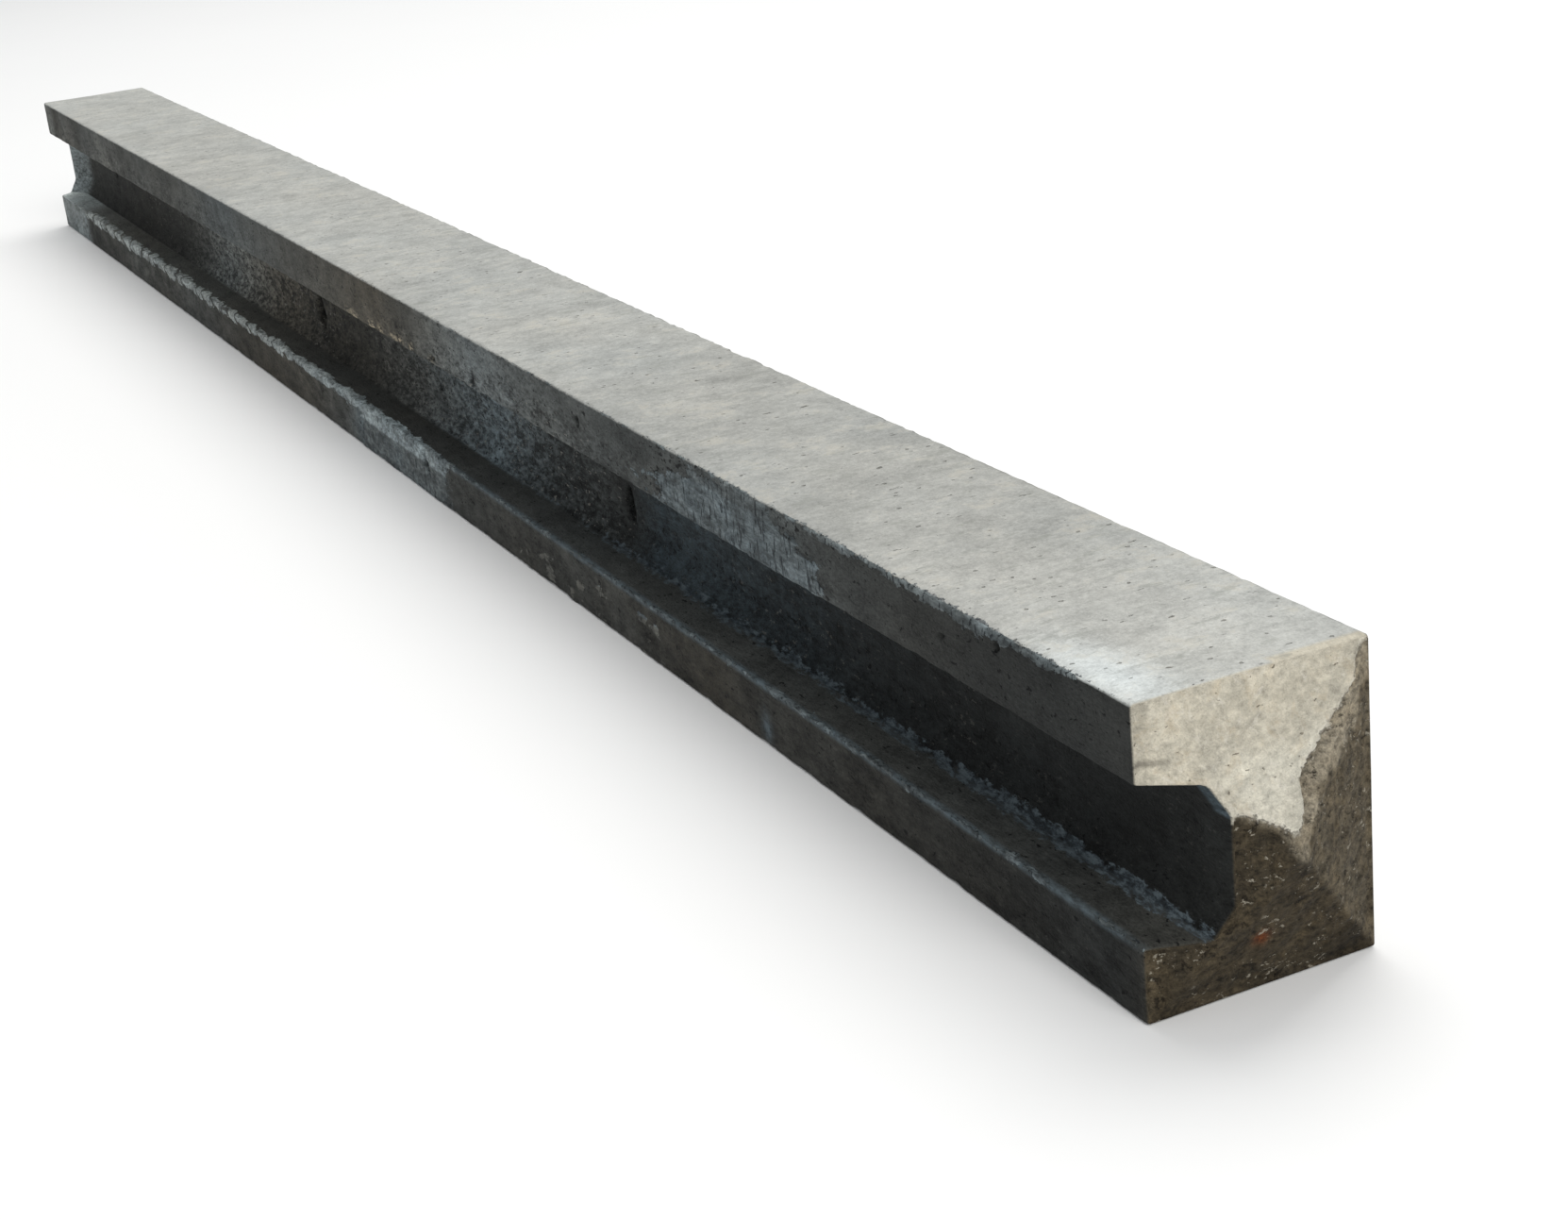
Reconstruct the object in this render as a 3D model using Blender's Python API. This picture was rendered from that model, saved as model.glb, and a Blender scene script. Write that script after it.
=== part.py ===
"""Slotted precast concrete fence end post with its reinforcement cage, lying on one side.

X runs along the post towards its weathered top, the panel slot opens towards -Y, and the
face that was trowelled in the open mould looks up, +Z.  The origin is the middle of the
underside.  Lengths are in metres.
"""
import math

import bmesh
import bpy
from mathutils import Vector

# Concrete casting
LENGTH = 1.750            # base end to the tip of the weathered top
WIDTH = 0.088             # slot side to back
HEIGHT = 0.109            # across the slotted side
TOP_RISE = 0.024          # four-way weathered top, shoulder to tip
ARRIS = 0.0015            # chamfer on the long outer edges
BASE_X = -LENGTH / 2
TIP_X = LENGTH / 2
SHOULDER_X = TIP_X - TOP_RISE

# Panel slot
SLOT_MOUTH = 0.0545       # clear width at the face
SLOT_DEPTH = 0.025
SLOT_DRAFT = 0.0015       # how far each side leans in before the corner
SLOT_FLOOR = 0.030        # flat part of the slot's floor
CORNER_DEPTH = 0.006      # the sloped inner corner, measured along the depth
MOUTH_ARRIS = 0.001       # chamfer on the slot's mouth
RUNOUT_LENGTH = 0.030     # the floor rises over this length at the base end
RUNOUT_DEPTH = 0.014      # depth left at the base end

# Reinforcement
BAR_RADIUS = 0.003
LINK_RADIUS = 0.0015
TIE_RADIUS = 0.0006
GAP = 0.0003              # clearance between touching pieces
BAR_COVER_Z = 0.0155      # bar axis to the underside, and to the trowelled face
SLOT_BAR_Y = -0.028       # the two bars in the flanges beside the slot
BACK_BAR_Y = 0.027        # the two bars near the back
BAR_RECESS = 0.002        # bar ends sit this far inside the base end
BAR_TOP_COVER = 0.025     # concrete between the bar ends and the shoulder
BAR_SIDES = 12
LINK_COUNT = 6
LINK_END_COVER = 0.090    # first and last link from the base end and from the shoulder
LINK_TAIL = 0.012         # straight tail after each hook
LINK_SIDES = 8
LINK_BEND = BAR_RADIUS + LINK_RADIUS + GAP
TIE_TURNS = 1.25
TIE_PITCH = 0.0018
TIE_HALF_WIDTH = 0.0068
TIE_SIDES = 5

# Plastic clip-on spacers under the lower bars
SPACER_LENGTH = 0.010
SPACER_INNER = BAR_RADIUS + 0.0004
SPACER_OUTER = 0.0052
SPACER_MOUTH = math.radians(80)
SPACER_STEM = 0.005
SPACER_FOOT_WIDTH = 0.014
SPACER_FOOT_HEIGHT = 0.002
SPACER_RECESS = 0.0005    # the foot stops this far above the underside

BARS = {
    "bar_slot_low": (SLOT_BAR_Y, BAR_COVER_Z),
    "bar_slot_high": (SLOT_BAR_Y, HEIGHT - BAR_COVER_Z),
    "bar_back_low": (BACK_BAR_Y, BAR_COVER_Z),
    "bar_back_high": (BACK_BAR_Y, HEIGHT - BAR_COVER_Z),
}


def clear_scene():
    for item in list(bpy.data.objects):
        bpy.data.objects.remove(item, do_unlink=True)


def material(name, colour, roughness, metallic=0.0):
    shader = bpy.data.materials.new(name)
    shader.use_nodes = True
    principled = shader.node_tree.nodes["Principled BSDF"]
    principled.inputs["Base Color"].default_value = (*colour, 1.0)
    principled.inputs["Roughness"].default_value = roughness
    principled.inputs["Metallic"].default_value = metallic
    return shader


def loft(name, sections, closed=False):
    """A closed mesh through equal-length rings of points, capped at both ends unless closed."""
    shape = bmesh.new()
    rings = [[shape.verts.new(point) for point in section] for section in sections]
    pairs = list(zip(rings, rings[1:]))
    if closed:
        pairs.append((rings[-1], rings[0]))
    for first, second in pairs:
        for index in range(len(first)):
            following = (index + 1) % len(first)
            shape.faces.new((first[index], first[following], second[following], second[index]))
    if not closed:
        shape.faces.new(list(reversed(rings[0])))
        shape.faces.new(rings[-1])
    bmesh.ops.recalc_face_normals(shape, faces=shape.faces)
    mesh = bpy.data.meshes.new(name)
    shape.to_mesh(mesh)
    shape.free()
    return mesh


def smooth(mesh):
    mesh.shade_smooth()
    mesh.set_sharp_from_angle(angle=math.radians(50))
    return mesh


def wire(name, path, radius, sides):
    """A round wire swept along a path of points, its section carried along without twist."""
    path = [Vector(point) for point in path]
    sections = []
    normal = None
    for index, point in enumerate(path):
        before = path[max(index - 1, 0)]
        after = path[min(index + 1, len(path) - 1)]
        tangent = (after - before).normalized()
        if normal is None:
            normal = tangent.orthogonal()
        normal = (normal - tangent * normal.dot(tangent)).normalized()
        side = tangent.cross(normal)
        ring = []
        for step in range(sides):
            angle = 2 * math.pi * step / sides
            ring.append(point + radius * (math.cos(angle) * normal + math.sin(angle) * side))
        sections.append(ring)
    return smooth(loft(name, sections))


def place(name, mesh, shader, location=(0, 0, 0), rotation=(0, 0, 0)):
    item = bpy.data.objects.new(name, mesh)
    item.location = location
    item.rotation_euler = rotation
    if not mesh.materials:
        mesh.materials.append(shader)
    bpy.context.scene.collection.objects.link(item)
    item.parent = bpy.data.objects.get("post")
    return item


def cut(body, name, mesh, location=(0, 0, 0), rotation=(0, 0, 0)):
    """Takes the shape out of the body."""
    cutter = place(name, mesh, body.data.materials[0], location, rotation)
    cutter.hide_render = True
    cutter.display_type = "WIRE"
    modifier = body.modifiers.new(name, "BOOLEAN")
    modifier.operation = "DIFFERENCE"
    modifier.solver = "EXACT"
    modifier.object = cutter


def outer_profile():
    """The post's rectangle with chamfered corners, as (y, z)."""
    half = WIDTH / 2
    return [
        (-half + ARRIS, 0),
        (half - ARRIS, 0),
        (half, ARRIS),
        (half, HEIGHT - ARRIS),
        (half - ARRIS, HEIGHT),
        (-half + ARRIS, HEIGHT),
        (-half, HEIGHT - ARRIS),
        (-half, ARRIS),
    ]


def casting_mesh():
    """The solid block: a long prism whose top end is a low pyramid."""
    shape = bmesh.new()
    base = [shape.verts.new((BASE_X, y, z)) for y, z in outer_profile()]
    shoulder = [shape.verts.new((SHOULDER_X, y, z)) for y, z in outer_profile()]
    tip = shape.verts.new((TIP_X, 0, HEIGHT / 2))
    for index in range(len(base)):
        following = (index + 1) % len(base)
        shape.faces.new((base[index], base[following], shoulder[following], shoulder[index]))
        shape.faces.new((shoulder[index], shoulder[following], tip))
    shape.faces.new(list(reversed(base)))
    bmesh.ops.recalc_face_normals(shape, faces=shape.faces)
    mesh = bpy.data.meshes.new("concrete_post")
    shape.to_mesh(mesh)
    shape.free()
    return mesh


def slot_profile(depth):
    """Half of the slot's outline from outside the face to its floor, then the other half."""
    face = -WIDTH / 2
    half = SLOT_MOUTH / 2
    lower = [
        (face - 0.010, -half - MOUTH_ARRIS),
        (face, -half - MOUTH_ARRIS),
        (face + MOUTH_ARRIS, -half),
        (face + depth - CORNER_DEPTH, -half + SLOT_DRAFT),
        (face + depth, -SLOT_FLOOR / 2),
    ]
    upper = [(y, -z) for y, z in reversed(lower)]
    return [(y, z + HEIGHT / 2) for y, z in lower + upper]


def slot_mesh():
    """The slot runs the whole length, and its floor rises in a curve at the base end."""
    stations = [(BASE_X - 0.010, RUNOUT_DEPTH)]
    steps = 6
    for step in range(steps + 1):
        along = step / steps
        rise = (SLOT_DEPTH - RUNOUT_DEPTH) * (1 - along) ** 2
        stations.append((BASE_X + along * RUNOUT_LENGTH, SLOT_DEPTH - rise))
    stations.append((TIP_X + 0.010, SLOT_DEPTH))
    sections = [[(x, y, z) for y, z in slot_profile(depth)] for x, depth in stations]
    return loft("slot_cutter", sections)


def bar_mesh(name, start, end, radius):
    return wire(name, [(start, 0, 0), (end, 0, 0)], radius, BAR_SIDES)


def arc(centre, start, end, steps):
    """Points of a bend of the link around a bar, in degrees from +Y towards +Z."""
    points = []
    for step in range(steps + 1):
        angle = math.radians(start + (end - start) * step / steps)
        points.append((0, centre[0] + LINK_BEND * math.cos(angle),
                       centre[1] + LINK_BEND * math.sin(angle)))
    return points


def link_path(grow=0.0):
    """An open C: hooked round each slot bar, bent round each back bar, open to the slot."""
    low = BAR_COVER_Z
    high = HEIGHT - BAR_COVER_Z
    tail_end = SLOT_BAR_Y + LINK_TAIL + grow
    path = [(0, tail_end, low + LINK_BEND)]
    path += arc((SLOT_BAR_Y, low), 90, 270, 6)
    path += arc((BACK_BAR_Y, low), 270, 360, 3)
    path += arc((BACK_BAR_Y, high), 0, 90, 3)
    path += arc((SLOT_BAR_Y, high), 90, 270, 6)
    path.append((0, tail_end, high - LINK_BEND))
    return path


def tie_path(grow=0.0):
    """Soft wire wrapped slantwise round a low back bar and the link below it."""
    bottom = -LINK_BEND - LINK_RADIUS - TIE_RADIUS - 2 * GAP
    top = BAR_RADIUS + TIE_RADIUS + 2 * GAP
    middle = (bottom + top) / 2
    half_height = (top - bottom) / 2
    along = Vector((1, 1, 0)).normalized()
    across = Vector((1, -1, 0)).normalized()
    steps = 20
    path = []
    for step in range(steps + 1):
        turn = step / steps - 0.5
        angle = 2 * math.pi * TIE_TURNS * turn + math.pi / 2
        point = along * TIE_HALF_WIDTH * math.cos(angle)
        point += across * TIE_PITCH * TIE_TURNS * turn
        point += Vector((0, 0, middle + half_height * math.sin(angle)))
        path.append(point)
    path[0] += (path[0] - path[1]).normalized() * grow
    path[-1] += (path[-1] - path[-2]).normalized() * grow
    return path


def spacer_outline(grow=0.0):
    """A clip open at the top on a stem and a foot, as (y, z) about the bar's axis."""
    inner = SPACER_INNER - grow
    outer = SPACER_OUTER + grow
    mouth = SPACER_MOUTH / 2 - grow / SPACER_OUTER
    start = math.pi / 2 + mouth
    end = 5 * math.pi / 2 - mouth
    foot_top = -BAR_COVER_Z + SPACER_RECESS + SPACER_FOOT_HEIGHT + grow
    foot_bottom = -BAR_COVER_Z + SPACER_RECESS - grow
    if grow:
        foot_bottom = -BAR_COVER_Z - 0.002
    stem = SPACER_STEM / 2 + grow
    foot = SPACER_FOOT_WIDTH / 2 + grow
    stem_angle = math.asin(stem / outer)
    left = 3 * math.pi / 2 - stem_angle
    right = 3 * math.pi / 2 + stem_angle
    points = []
    steps = 8
    for step in range(steps + 1):
        angle = end + (start - end) * step / steps
        points.append((inner * math.cos(angle), inner * math.sin(angle)))
    half_steps = 4
    for step in range(half_steps + 1):
        angle = start + (left - start) * step / half_steps
        points.append((outer * math.cos(angle), outer * math.sin(angle)))
    points += [(-stem, foot_top), (-foot, foot_top), (-foot, foot_bottom)]
    points += [(foot, foot_bottom), (foot, foot_top), (stem, foot_top)]
    for step in range(half_steps + 1):
        angle = right + (end - right) * step / half_steps
        points.append((outer * math.cos(angle), outer * math.sin(angle)))
    return points


def spacer_mesh(name, grow=0.0):
    half = SPACER_LENGTH / 2 + grow
    sections = [[(x, y, z) for y, z in spacer_outline(grow)] for x in (-half, half)]
    return loft(name, sections)


def link_stations():
    first = BASE_X + LINK_END_COVER
    last = SHOULDER_X - LINK_END_COVER
    return [first + (last - first) * index / (LINK_COUNT - 1) for index in range(LINK_COUNT)]


def build():
    clear_scene()
    post = bpy.data.objects.new("post", None)
    bpy.context.scene.collection.objects.link(post)

    concrete = material("concrete", (0.36, 0.35, 0.32), 0.92)
    bar_steel = material("bar_steel", (0.16, 0.11, 0.08), 0.55, 0.9)
    link_steel = material("link_steel", (0.22, 0.19, 0.17), 0.5, 0.9)
    tie_steel = material("tie_steel", (0.10, 0.09, 0.09), 0.5, 0.9)
    plastic = material("spacer_plastic", (0.03, 0.03, 0.03), 0.5)

    body = place("concrete_post", casting_mesh(), concrete)
    cut(body, "cut_slot", slot_mesh())

    # Four straight bars and their channels, open at the base end
    start = BASE_X + BAR_RECESS
    end = SHOULDER_X - BAR_TOP_COVER
    bar = bar_mesh("bar", start, end, BAR_RADIUS)
    channel = bar_mesh("bar_channel", BASE_X - 0.010, end + GAP, BAR_RADIUS + GAP)
    for name, (y, z) in BARS.items():
        place(name, bar, bar_steel, (0, y, z))
        cut(body, "cut_" + name, channel, (0, y, z))

    # Links, each tied to the two back bars
    link = wire("link", link_path(), LINK_RADIUS, LINK_SIDES)
    link_channel = wire("link_channel", link_path(GAP), LINK_RADIUS + GAP, LINK_SIDES)
    tie = wire("tie", tie_path(), TIE_RADIUS, TIE_SIDES)
    tie_channel = wire("tie_channel", tie_path(GAP), TIE_RADIUS + GAP, TIE_SIDES)
    stations = link_stations()
    for number, x in enumerate(stations, start=1):
        place(f"link_{number}", link, link_steel, (x, 0, 0))
        cut(body, f"cut_link_{number}", link_channel, (x, 0, 0))
        for level, z, turn in (("low", BAR_COVER_Z, 0), ("high", HEIGHT - BAR_COVER_Z, math.pi)):
            spot = (x, BACK_BAR_Y, z)
            place(f"tie_{number}_{level}", tie, tie_steel, spot, (turn, 0, 0))
            cut(body, f"cut_tie_{number}_{level}", tie_channel, spot, (turn, 0, 0))

    # Spacers under the low bars, midway between the links of every other pair
    spacer = spacer_mesh("spacer")
    pocket = spacer_mesh("spacer_pocket", GAP)
    for number, index in enumerate(range(0, LINK_COUNT, 2), start=1):
        x = (stations[index] + stations[index + 1]) / 2
        for side, y in (("slot", SLOT_BAR_Y), ("back", BACK_BAR_Y)):
            place(f"spacer_{number}_{side}", spacer, plastic, (x, y, BAR_COVER_Z))
            cut(body, f"cut_spacer_{number}_{side}", pocket, (x, y, BAR_COVER_Z))


build()
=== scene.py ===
"""Looks of a slotted precast concrete fence end post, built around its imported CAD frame.

X runs along the post towards its weathered top, the panel slot opens towards -Y, and the
trowelled face looks up.  Lengths are in metres unless a name ends in _MM.
"""
import itertools
import math

import bpy
import numpy as np
from mathutils import Matrix, Vector
from mathutils.geometry import delaunay_2d_cdt


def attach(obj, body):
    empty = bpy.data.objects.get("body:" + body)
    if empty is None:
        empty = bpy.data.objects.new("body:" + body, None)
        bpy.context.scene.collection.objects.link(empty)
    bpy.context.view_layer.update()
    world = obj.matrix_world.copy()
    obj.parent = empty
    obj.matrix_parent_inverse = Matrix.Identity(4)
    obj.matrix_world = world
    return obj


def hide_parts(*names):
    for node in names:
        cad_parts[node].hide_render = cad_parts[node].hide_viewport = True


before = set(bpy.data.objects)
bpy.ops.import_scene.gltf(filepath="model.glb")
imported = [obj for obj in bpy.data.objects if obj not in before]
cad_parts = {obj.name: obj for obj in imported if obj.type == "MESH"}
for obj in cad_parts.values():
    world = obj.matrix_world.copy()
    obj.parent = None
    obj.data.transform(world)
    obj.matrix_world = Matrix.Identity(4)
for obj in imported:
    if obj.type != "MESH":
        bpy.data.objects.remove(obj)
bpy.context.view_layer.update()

# ---- sizes of the casting
LENGTH = 1.75
WIDTH = 0.088
HEIGHT = 0.109
TOP_RISE = 0.024
BASE_X = -LENGTH / 2
SHOULDER_X = LENGTH / 2 - TOP_RISE
FACE_Y = -WIDTH / 2
BACK_Y = WIDTH / 2
MIDDLE_Z = HEIGHT / 2
ARRIS = 0.0015

SLOT_MOUTH = 0.0545
SLOT_DEPTH = 0.025
SLOT_DRAFT = 0.0015
SLOT_FLOOR = 0.03
CORNER_DEPTH = 0.006
MOUTH_ARRIS = 0.001
INNER_ROUND = 0.0012
ARC_MIDDLE = 0.29  # how far along both sides of a corner, in radii, the middle of its arc lies
END_ROUND = 0.0014
END_LEAN = 0.06  # length over which the rings lean to meet the weathered top
RUNOUT_LENGTH = 0.03
RUNOUT_DEPTH = 0.014
MOUTH_LOW_Z = MIDDLE_Z - SLOT_MOUTH / 2
MOUTH_HIGH_Z = MIDDLE_Z + SLOT_MOUTH / 2

BARS = [(-0.028, 0.0155), (-0.028, 0.0935), (0.027, 0.0155), (0.027, 0.0935)]
BAR_HOLE_RADIUS = 0.0036
BAR_HOLE_DEPTH = 0.0026
HOLE_SIDES = 20
FOOT_STATIONS = [-0.6304, -0.012, 0.6064]
FOOT_HALF = (0.005, 0.007)
FOOT_GAP = 0.0003
FOOT_POCKET = 0.0011

# ---- how the relief dies away at the shoulder, where hollows over a depth stay as they are
FADE_HALF_LENGTH = 0.004
FADED_SHARE = 0.35
KEPT_HOLLOW = 0.0009

# ---- mesh resolution
FAR_STEP = 0.0066
NEAR_STEP = 0.0023
END_STEP = 0.0011
BASE_STEP = 0.0035
EDGES = [
    ("top", 0.0021),
    ("back", 0.0066),
    ("underside", 0.0066),
    ("lower_face", 0.0014),
    ("lower_wall", 0.0016),
    ("lower_slope", 0.0014),
    ("slot_floor", 0.0016),
    ("upper_slope", 0.003),
    ("upper_wall", 0.0032),
    ("upper_face", 0.0014),
]
FACES = [name for name, spacing in EDGES]


def on(face, *names):
    """Which points lie on one of the named faces."""
    return np.isin(face, [FACES.index(name) for name in names])


# ---- repeatable noise
def hashed(cell, seed):
    """A repeatable number from 0 to 1 for each whole-number cell."""
    mixed = cell[:, 0] * 73856093 ^ cell[:, 1] * 19349663 ^ cell[:, 2] * 83492791
    mixed = (mixed ^ seed * 2654435761) & 0xFFFFFFFF
    mixed = ((mixed ^ (mixed >> 15)) * 73244475) & 0xFFFFFFFF
    mixed = ((mixed ^ (mixed >> 13)) * 40503431) & 0xFFFFFFFF
    return (mixed ^ (mixed >> 16)) / 0xFFFFFFFF


def noise(points, size, seed):
    """Smooth noise from -1 to 1 with lumps of a size: one number, or one for each axis."""
    place = points / np.broadcast_to(np.asarray(size, float), 3)
    cell = np.floor(place).astype(np.int64)
    inside = place - cell
    inside = inside * inside * (3 - 2 * inside)
    total = np.zeros(len(points))
    for corner in itertools.product((0, 1), repeat=3):
        share = np.where(corner, inside, 1 - inside).prod(axis=1)
        total += share * hashed(cell + np.array(corner), seed)
    return total * 2 - 1


def layered(points, size, seed, layers=3):
    """Noise with finer, weaker layers added, from about -1 to 1."""
    total = np.zeros(len(points))
    weight = 1.0
    whole = 0.0
    for layer in range(layers):
        total += weight * noise(points, np.asarray(size, float) / 2**layer, seed + 17 * layer)
        whole += weight
        weight *= 0.55
    return total / whole * 1.3


def smooth(value, low, high):
    """0 below low, 1 above high, and a smooth step between."""
    share = np.clip((value - low) / (high - low), 0, 1)
    return share * share * (3 - 2 * share)


# ---- the casting's section
def outline(depth):
    """Corners of the section as (y, z), each with its radius, clockwise seen from the base."""
    half = SLOT_MOUTH / 2
    wall = half - SLOT_DRAFT
    floor = SLOT_FLOOR / 2
    slot = [
        (FACE_Y, half, MOUTH_ARRIS),
        (FACE_Y + depth - CORNER_DEPTH, wall, INNER_ROUND),
        (FACE_Y + depth, floor, INNER_ROUND),
    ]
    corners = [
        (FACE_Y, HEIGHT, ARRIS),
        (BACK_Y, HEIGHT, ARRIS),
        (BACK_Y, 0, ARRIS),
        (FACE_Y, 0, ARRIS),
    ]
    corners += [(y, MIDDLE_Z - z, radius) for y, z, radius in slot]
    corners += [(y, MIDDLE_Z + z, radius) for y, z, radius in reversed(slot)]
    return [(np.array((y, z)), radius) for y, z, radius in corners]


def along_edge(start, end, face, spacing, counted):
    """Points between start and end, as many at every depth as at the full depth."""
    count = counted.setdefault(face, max(1, round(np.linalg.norm(end - start) / spacing)))
    shares = list(np.arange(1, count) / count)
    if face == "underside":
        length = abs(end[0] - start[0])
        for y, z in BARS[::2]:
            for side in (-FOOT_HALF[1], FOOT_HALF[1]):
                for gap in (-FOOT_GAP, FOOT_GAP):
                    shares.append(abs(y + side + gap - start[0]) / length)
        shares.sort()
    return [start + (end - start) * share for share in shares]


def ring(depth, counted):
    """The section as points and the face that follows each point."""
    corners = outline(depth)
    arcs = []
    for index, (corner, radius) in enumerate(corners):
        before = corners[index - 1][0] - corner
        after = corners[(index + 1) % len(corners)][0] - corner
        before = before / np.linalg.norm(before) * radius
        after = after / np.linalg.norm(after) * radius
        arcs.append([corner + before, corner + (before + after) * ARC_MIDDLE, corner + after])
    points = []
    faces = []
    for index, (face, spacing) in enumerate(EDGES):
        arc = arcs[index]
        following = arcs[(index + 1) % len(arcs)]
        middle = along_edge(arc[2], following[0], face, spacing, counted)
        points += arc + middle
        faces += [(index - 1) % len(EDGES), index] + [index] * (len(middle) + 1)
    return np.array(points), np.array(faces)


def slot_depth(x):
    """The slot is shallower where its floor rises at the base end."""
    share = np.clip((x - BASE_X) / RUNOUT_LENGTH, 0, 1)
    return SLOT_DEPTH - (SLOT_DEPTH - RUNOUT_DEPTH) * (1 - share) ** 2


def weathered(y, z):
    """X of the four-way weathered top over a point of the section."""
    across = np.maximum(np.abs(y) / (WIDTH / 2), np.abs(z - MIDDLE_Z) / (HEIGHT / 2))
    return SHOULDER_X + TOP_RISE * (1 - np.minimum(across, 1))


# ---- marks left in the concrete
# Slits and blow holes that are deep enough to be part of the shape:
# face, x, place across the face (z, or y on the top), half length, half width, lean, depth
MARKS = [
    ("slot_floor", -0.122, 0.0505, 0.0095, 0.0056, 0.1, 0.006),
    ("slot_floor", 0.39, 0.0495, 0.0075, 0.0034, 0.12, 0.0055),
    ("slot_floor", 0.113, 0.0487, 0.0022, 0.0034, 0.3, 0.0035),
    ("lower_face", 0.151, 0.018, 0.006, 0.0028, 0.2, 0.0045),
    ("upper_face", 0.19, 0.085, 0.0018, 0.0024, 0, 0.003),
    ("slot_floor", -0.7315, 0.06, 0.003, 0.002, 0, 0.003),
    ("slot_floor", 0.64, 0.066, 0.002, 0.0014, 0.3, 0.003),
    ("slot_floor", 0.7, 0.062, 0.0012, 0.001, 0, 0.002),
    ("slot_floor", 0.555, 0.0675, 0.0016, 0.0014, 0, 0.0025),
    ("upper_face", 0.401, 0.0975, 0.0022, 0.002, 0, 0.0035),
    ("upper_face", 0.773, 0.103, 0.0016, 0.0012, 0, 0.0025),
    ("upper_face", 0.735, 0.095, 0.0011, 0.0009, 0, 0.0018),
    ("upper_face", 0.255, 0.086, 0.0022, 0.0018, 0, 0.003),
    ("top", 0.64, 0.008, 0.0012, 0.0026, 0, 0.001),
    ("top", 0.47, 0.03, 0.001, 0.003, 0, 0.001),
    ("top", 0.3, -0.02, 0.0011, 0.0032, 0, 0.001),
    ("top", 0.18, 0.012, 0.0011, 0.003, 0, 0.001),
]


def stations():
    """Places along the post, closer together towards the weathered top and at each mark."""
    places = [BASE_X]
    while places[-1] < SHOULDER_X:
        share = (places[-1] - BASE_X) / (SHOULDER_X - BASE_X)
        places.append(places[-1] + FAR_STEP + (NEAR_STEP - FAR_STEP) * share**0.7)
    places = BASE_X + (np.array(places) - BASE_X) * (SHOULDER_X - BASE_X) / (places[-1] - BASE_X)
    wanted = []
    for inwards in (0.0006, END_ROUND):
        wanted += [BASE_X + inwards, SHOULDER_X - inwards]
    for x in FOOT_STATIONS:
        for side in (-FOOT_HALF[0], FOOT_HALF[0]):
            wanted += [x + side - FOOT_GAP, x + side + FOOT_GAP]
    for face, x, across, tall, wide, lean, depth in MARKS:
        half = tall if face == "top" else wide
        wanted += [x - half, x, x + half]
    wanted = np.array(wanted)
    inner = places[1:-1]
    clear = np.abs(inner[:, None] - wanted[None]).min(axis=1) > 0.0007
    return np.unique(np.concatenate([[BASE_X], inner[clear], wanted, [SHOULDER_X]]))


# ---- how the surface varies
FAR_OFF = 9.0  # in mm: too far from an edge, or outside a layer, to matter
ENDLESS = 9.0  # in metres: lumps so long that the noise doesn't change along that axis

# Along each dark face: x, grey level out of 255, and warmth from -1 (blue) to 1 (brown).
UPPER_TONES = [
    (-0.875, 104, 0), (-0.85, 92, 0), (-0.835, 60, 0.4), (-0.8, 92, 0.1), (-0.775, 84, 0.2),
    (-0.745, 66, 0.1), (-0.71, 78, -0.1), (-0.66, 94, -0.1), (-0.57, 76, 0.1), (-0.49, 82, 0),
    (-0.42, 72, 0), (-0.35, 80, -0.2), (-0.23, 88, -0.4), (-0.09, 80, 0.2), (0, 80, 0.5),
    (0.1, 72, 0.8), (0.15, 68, 0.3), (0.19, 94, 0), (0.257, 108, -0.5), (0.34, 84, -0.3),
    (0.45, 72, -0.2), (0.52, 74, -0.2), (0.575, 98, -0.3), (0.62, 86, -0.3), (0.645, 72, -0.2),
    (0.7, 56, -0.2), (0.77, 46, -0.2), (0.825, 48, -0.25), (0.851, 48, -0.1),
]
FLOOR_TONES = [
    (-0.875, 128, -0.6), (-0.853, 122, -0.6), (-0.84, 50, 0), (-0.61, 40, 0.2), (-0.48, 54, 0.2),
    (-0.36, 106, -0.2), (-0.3, 108, 0.1), (-0.214, 74, 0.7), (-0.1, 52, 0.5), (-0.04, 52, 0.6),
    (0.08, 80, -0.2), (0.15, 89, -0.7), (0.21, 102, -1), (0.3, 64, -0.4), (0.37, 56, -0.2),
    (0.39, 46, -0.2), (0.423, 60, -1.4), (0.484, 62, -1.2), (0.567, 46, -1.1), (0.684, 35, -0.4),
    (0.75, 37, -0.4), (0.84, 34, -0.2), (0.875, 35, -0.2),
]
WALL_TONES = [
    (-0.875, 204, -0.3), (-0.84, 176, -0.5), (-0.79, 152, -0.5), (-0.76, 112, 0), (-0.6, 90, 0.2),
    (-0.4, 84, 0.1), (-0.2, 70, 0.2), (0.1, 62, 0), (0.33, 72, -0.1), (0.55, 74, -0.1),
    (0.67, 68, -0.1), (0.78, 68, -0.1), (0.83, 60, 0.1), (0.875, 72, 0.4),
]
LOWER_TONES = [
    (-0.875, 130, -0.4), (-0.775, 132, -0.5), (-0.755, 58, 0.2), (-0.65, 70, 0.2), (-0.58, 78, 0.1),
    (-0.5, 69, 0.2), (-0.41, 80, 0), (-0.29, 65, 0.2), (-0.2, 56, 0.8), (-0.08, 72, 0.6),
    (0, 80, 0), (0.03, 104, -0.8), (0.08, 104, -1.3), (0.15, 124, -1.5), (0.19, 65, 0),
    (0.307, 60, 0.3), (0.42, 66, 0.2), (0.53, 53, 0.7), (0.58, 56, 0.2), (0.65, 50, 0.2),
    (0.76, 42, 0.2), (0.833, 43, -0.2), (0.845, 44, 0.1), (0.851, 56, 0.4),
]
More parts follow.
